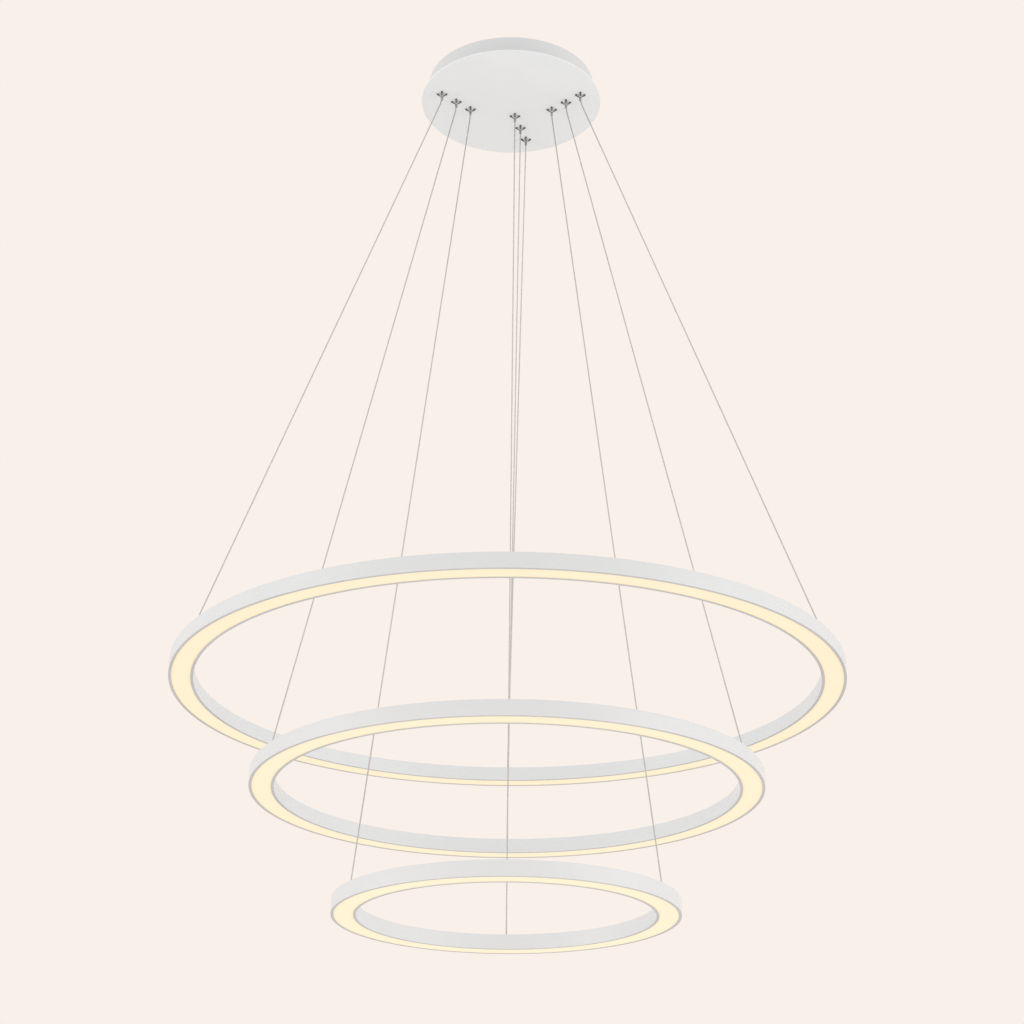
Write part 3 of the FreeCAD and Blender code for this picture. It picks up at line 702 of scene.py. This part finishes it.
holderSizes = {
    "plate": -0.028,  # the plate's underside, from which the heights below are taken
    "bore": 0.00145, "chamber": 0.00195, "chamberFloor": 0.0015,
    "stem": 0.0019, "barrel": 0.0025, "barrelTop": 0.009,
    "hub": 0.0023, "hubLow": -0.0048, "hubHigh": -0.0032,
    "rounding": [0.0002, 0.0005, 0.0005, 0.0002, 0.0002, 0.0001, 0.0002, 0.0001, 0.0001,
                 0.0001],
    "legs": 4, "legStart": 0.0013, "legReach": 0.0057, "legEnd": -0.0009,
    "legThin": 0.0005, "legThick": 0.00095,
    "bowOut": 0.0002, "bowDown": -0.0001,
    "foot": 0.0014, "footHeight": 0.0013, "footRounding": [0, 0, 0.0005, 0.0001],
    "coreSteps": 4, "coreSegments": 40, "legPoints": 12, "legSides": 14,
    "footSteps": 5, "footSegments": 24,
}


def holderGrids(x, y, size):
    place = np.array([x, y, size["plate"]])
    core = roundedOutline([
        (size["bore"], size["hubLow"]), (size["hub"], size["hubLow"]),
        (size["hub"], size["hubHigh"]), (size["stem"], size["hubHigh"]),
        (size["stem"], 0.0), (size["barrel"], 0.0), (size["barrel"], size["barrelTop"]),
        (size["chamber"], size["barrelTop"]), (size["chamber"], size["chamberFloor"]),
        (size["bore"], size["chamberFloor"])], size["rounding"], size["coreSteps"])
    grids = [(turnedGrid(core, size["coreSegments"], place), True, True, 1, None)]
    foot = roundedOutline([(0, 0), (0, -size["footHeight"]),
                           (size["foot"], -size["footHeight"]), (size["foot"], 0)],
                          size["footRounding"], size["footSteps"])
    foot[:, 0] = np.maximum(foot[:, 0], 0)
    # A leg runs out and up from the hub to its foot with a slight bow: a parabola through
    # its start and its end, drawn towards a third point.
    t = np.linspace(0, 1, size["legPoints"])[:, None]
    hubMiddle = (size["hubLow"] + size["hubHigh"]) / 2
    radii = size["legThin"] + (size["legThick"] - size["legThin"]) * t[:, 0]
    for turn in range(size["legs"]):
        angle = 2 * math.pi / size["legs"] * turn
        way = np.array([math.cos(angle), math.sin(angle), 0])
        start = place + way * size["legStart"] + [0, 0, hubMiddle]
        end = place + way * size["legReach"] + [0, 0, size["legEnd"]]
        bow = (start + end) / 2 + way * size["bowOut"] + [0, 0, size["bowDown"]]
        path = (1 - t) ** 2 * start + 2 * t * (1 - t) * bow + t ** 2 * end
        footPlace = end - [0, 0, size["legEnd"]]
        grids.append((closedTube(path, radii, size["legSides"]), False, True, 0, None))
        grids.append((turnedGrid(foot, size["footSegments"], footPlace), True, True, 0,
                      None))
    return grids


plungerSizes = {
    "bore": 0.00095, "ball": 0.0019, "ballMiddle": -0.0081, "tube": 0.00135,
    "collar": 0.00185, "collarLow": 0.0015, "collarHigh": 0.0025,
    "ballPoints": 22, "segments": 36,
}


def plungerGrid(x, y, size):
    # The ball's arc from its lower hole to the tube, then the tube, the collar and back
    # down the bore.
    low = math.asin(size["bore"] / size["ball"])
    high = math.pi - math.asin(size["tube"] / size["ball"])
    angle = np.linspace(low, high, size["ballPoints"])
    ball = np.column_stack([size["ball"] * np.sin(angle),
                            size["ballMiddle"] - size["ball"] * np.cos(angle)])
    rest = [(size["tube"], size["collarLow"]), (size["collar"], size["collarLow"]),
            (size["collar"], size["collarHigh"]), (size["bore"], size["collarHigh"])]
    return turnedGrid(np.concatenate([ball, rest]), size["segments"],
                      (x, y, holderSizes["plate"]))


springSizes = {
    "radius": 0.001655, "wire": 0.000175, "low": -0.025205, "high": -0.019295,
    "turns": 7, "turnPoints": 24, "sides": 10,
    "fixedEnd": -0.01912, "stroke": 0.0012,
}


def springGrid(x, y, size):
    # A circle carried up a helix, whose height grows evenly with its angle.
    angle = np.linspace(0, 2 * math.pi * size["turns"],
                        size["turnPoints"] * size["turns"] + 1)
    path = np.column_stack([x + size["radius"] * np.cos(angle),
                            y + size["radius"] * np.sin(angle),
                            np.linspace(size["low"], size["high"], len(angle))])
    outward = np.column_stack([np.cos(angle), np.sin(angle), 0 * angle])
    across = np.cross(pathDirections(path), outward)
    return sweptGrid(path, outward, across, size["wire"], size["sides"])


for key, (x, y) in holderPlaces.items():
    ring, side = key.split("_")
    label = ring + side.capitalize()
    addPiece(f"{label}Holder", holderGrids(x, y, holderSizes), [holderNickel, hubNickel],
             "canopy", [f"{key}_holder"], sharp=40)
    addPiece(f"{label}Plunger", [(plungerGrid(x, y, plungerSizes), True, True, 0, None)],
             [ballNickel], f"{key}_plunger", [f"{key}_plunger"], sharp=40)
    spring = addPiece(f"{label}Spring",
                      [(springGrid(x, y, springSizes), False, True, 0, None)],
                      [springSteel], "canopy", [f"{key}_spring"])
    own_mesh(spring)
print("holders, plungers and springs made")


copySizes = {
    "merge": 0.000002, "flat": 1.0, "sharp": 38,  # the last two are angles in degrees
    "rounding": 0.0003, "roundingSteps": 2,
}


def softenedCopy(name, node, finish, size):
    # The CAD shape with its triangles merged, its edges rounded and its turned walls
    # shaded smooth.
    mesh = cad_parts[node].data.copy()
    mesh.name = name
    merged = bmesh.new()
    merged.from_mesh(mesh)
    bmesh.ops.remove_doubles(merged, verts=merged.verts, dist=size["merge"])
    bmesh.ops.dissolve_limit(merged, angle_limit=math.radians(size["flat"]),
                             verts=merged.verts, edges=merged.edges)
    merged.to_mesh(mesh)
    merged.free()
    mesh.materials.clear()
    mesh.materials.append(finish)
    mesh.shade_smooth()
    sharp = math.radians(size["sharp"])
    mesh.set_sharp_from_angle(angle=sharp)
    piece = linkObject(name, mesh)
    rounding = piece.modifiers.new("edgeRounding", "BEVEL")
    rounding.width, rounding.segments = size["rounding"], size["roundingSteps"]
    rounding.limit_method, rounding.angle_limit = "ANGLE", sharp
    rounding.harden_normals = True
    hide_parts(node)
    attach(piece, "canopy")


slabSizes = {"cornerPoints": 7, "leastCorner": 0.0002}


def roundedSlab(length, width, corner, levels, middle, turn):
    # Rounded rectangles stacked up the levels, each drawn in by its own inset, with a
    # point in the middle of the lowest and the highest to close them.
    inset, height = np.array(levels, float).T
    steps = slabSizes["cornerPoints"]
    start = np.array([0, 1, 2, 3])[:, None] * math.pi / 2
    angle = (start + np.linspace(0, math.pi / 2, steps)[None, :]).ravel()[None, :]
    signX = np.repeat([1, -1, -1, 1], steps)[None, :]
    signY = np.repeat([1, 1, -1, -1], steps)[None, :]
    radius = np.maximum(corner - inset, slabSizes["leastCorner"])[:, None]
    x = signX * (length / 2 - inset[:, None] - radius) + radius * np.cos(angle)
    y = signY * (width / 2 - inset[:, None] - radius) + radius * np.sin(angle)
    grid = np.stack([x, y, height[:, None] + 0 * x], -1)
    low, high = (np.broadcast_to([0, 0, height[i]], (1, angle.size, 3)) for i in (0, -1))
    turned = np.array([[math.cos(turn), math.sin(turn), 0],
                       [-math.sin(turn), math.cos(turn), 0], [0, 0, 1]])
    return np.concatenate([low, grid, high]) @ turned + np.array(middle, float)


driverSizes = {
    "floor": -0.026,  # the plate's inner face
    "cases": {  # length, width, height, middle, turn in degrees
        "large": (0.116, 0.030, 0.020, (0.0, -0.0638), 0),
        "medium": (0.084, 0.026, 0.018, (-0.0580662, 0.0487233), 230),
        "small": (0.076, 0.026, 0.018, (0.0620917, 0.0434771), 125)},
    "ear": 0.010, "earThickness": 0.002,
    "lid": 0.0042,  # from the top down to the lid line
    "caseCorner": 0.0018, "earCorner": 0.0012,
    # Insets and heights: of the case's foot above the floor, of its lid line about that
    # line, of its top about the top, and of an ear's two faces about each face.
    "foot": [(0.0004, 0), (0.0001, 0.0003), (0, 0.0008)],
    "lidLine": [(0, -0.0004), (0.0001, -0.0001), (0.0006, 0), (0.0006, 0.0004),
                (0.0001, 0.0005), (0, 0.0009)],
    "top": [(0, -0.0011), (0.0002, -0.0005), (0.0006, -0.0001), (0.0011, 0), (0.0032, 0),
            (0.0036, -0.0004), (0.0042, -0.0004)],
    "earLow": [(0.0003, 0), (0, 0.0003)], "earHigh": [(0, -0.0004), (0.0004, 0)],
}


def stackLevels(*parts):
    return [(inset, base + step) for base, levels in parts for inset, step in levels]


def makeDriver(ring, size):
    # Case with a lid line near its top and rounded edges, on two flat ears.
    length, width, height, middle, turn = size["cases"][ring]
    case = stackLevels((0, size["foot"]), (height - size["lid"], size["lidLine"]),
                       (height, size["top"]))
    ears = stackLevels((0, size["earLow"]), (size["earThickness"], size["earHigh"]))
    place, angle = (*middle, size["floor"]), math.radians(turn)
    slabs = [roundedSlab(length - 2 * size["ear"], width, size["caseCorner"], case, place,
                         angle),
             roundedSlab(length, width / 2, size["earCorner"], ears, place, angle)]
    addPiece(f"{ring}RingDriver", [(slab, False, True, 0, None) for slab in slabs],
             [driverCase], "canopy", [f"{ring}_ring_driver"], sharp=32)


for node, finish, slot in (("face_plate", plateCoat, "white_canopy"),
                           ("drum", drumShadedCoat, "white_canopy"),
                           ("ceiling_bracket", zincSteel, "zinc_steel"),
                           ("side_screws", screwSteel, "zinc_steel"),
                           ("weld_studs", zincSteel, "zinc_steel"),
                           ("stud_nuts", zincSteel, "zinc_steel"),
                           ("holder_cap_nuts", nutNickel, "nickel"),
                           ("terminal_block", terminalPlastic, "terminal_plastic")):
    words = [word.capitalize() for word in node.split("_")]
    softenedCopy("soft" + "".join(words), node, finish, copySizes)
for ring in ringNames:
    makeDriver(ring, driverSizes)
print("canopy finished")


studioSizes = {
    "floor": -2.6, "reach": 12.0, "squares": 12,
    "floorTones": ((0.86, 0.845, 0.83, 1), (0.84, 0.825, 0.81, 1)),
    "floorRoughness": 0.8, "mottleScale": 6.0,
    "background": (0.947, 0.871, 0.815, 1),
    "ambient": 0.77,
    "lamps": {  # place, aim, size, power in watts
        "leftLamp": ((-4.5, -1.7, 0.2), (0, 0, -0.7), 4.5, 68),
        "rightLamp": ((4.5, -1.7, 0.2), (0, 0, -0.7), 4.5, 74),
        "topLamp": ((0, 0.6, 2.6), (0, 0, -0.5), 4.0, 26),
        "lowLamp": ((0, -0.4, -2.5), (0, 0, -0.4), 3.0, 14),
    },
}


def makeFloor(size):
    # Flat sheet of squares, pale and matt, with a fine mottle.
    count = size["squares"] + 1
    steps = np.linspace(-size["reach"], size["reach"], count)
    across, along = np.meshgrid(steps, steps)
    grid = np.stack([across, along, np.full_like(across, size["floor"])], -1)
    mesh = bpy.data.meshes.new("paleFloor")
    mesh.from_pydata(grid.reshape(-1, 3), [],
                     gridQuads(count, count, False, False)[:, ::-1])
    material, tree, shader = newMaterial("paleFloor",
                                         {"Roughness": size["floorRoughness"]})
    mottle = noise(tree, objectPlace(tree), size["mottleScale"], 5.0)
    tree.links.new(mixColours(tree, mottle, *size["floorTones"]),
                   shader.inputs["Base Color"])
    mesh.materials.append(material)
    floor = linkObject("paleFloor", mesh)


def makeLamps(size):
    # Square lamps, each aimed along its own line and unseen by the camera.
    for name, (place, aim, width, power) in size["lamps"].items():
        lamp = bpy.data.lights.new(name, "AREA")
        lamp.size, lamp.energy = width, power
        holder = linkObject(name, lamp)
        back = np.array(place, float) - np.array(aim, float)
        back /= np.linalg.norm(back)
        level = abs(back[2]) < nearlyAlong
        right = np.cross([0, 0, 1.0] if level else [0, 1.0, 0], back)
        right /= np.linalg.norm(right)
        turnObject(holder, right, np.cross(back, right), back, place)
        holder.visible_camera = False


def makeWorld(size):
    # Even white light; seen directly, or in metal and glass, the plain background shows.
    world = bpy.data.worlds.new("studioLight")
    bpy.context.scene.world = world
    world.use_nodes = True
    tree = world.node_tree
    light, out = tree.nodes["Background"], tree.nodes["World Output"]
    light.inputs["Color"].default_value = (1, 1, 1, 1)
    light.inputs["Strength"].default_value = size["ambient"]
    seen = addNode(tree, "ShaderNodeBackground", Color=size["background"], Strength=1.0)
    path = addNode(tree, "ShaderNodeLightPath").outputs
    direct = maths(tree, "MAXIMUM", path["Is Camera Ray"], path["Is Glossy Ray"])
    plain = maths(tree, "MAXIMUM", direct, path["Is Transmission Ray"])
    mix = addNode(tree, "ShaderNodeMixShader", i0=plain, i1=light.outputs[0],
                  i2=seen.outputs[0])
    tree.links.new(mix.outputs[0], out.inputs["Surface"])


makeFloor(studioSizes)
makeLamps(studioSizes)
makeWorld(studioSizes)
bpy.context.scene.view_settings.view_transform = "Standard"
print("studio set")
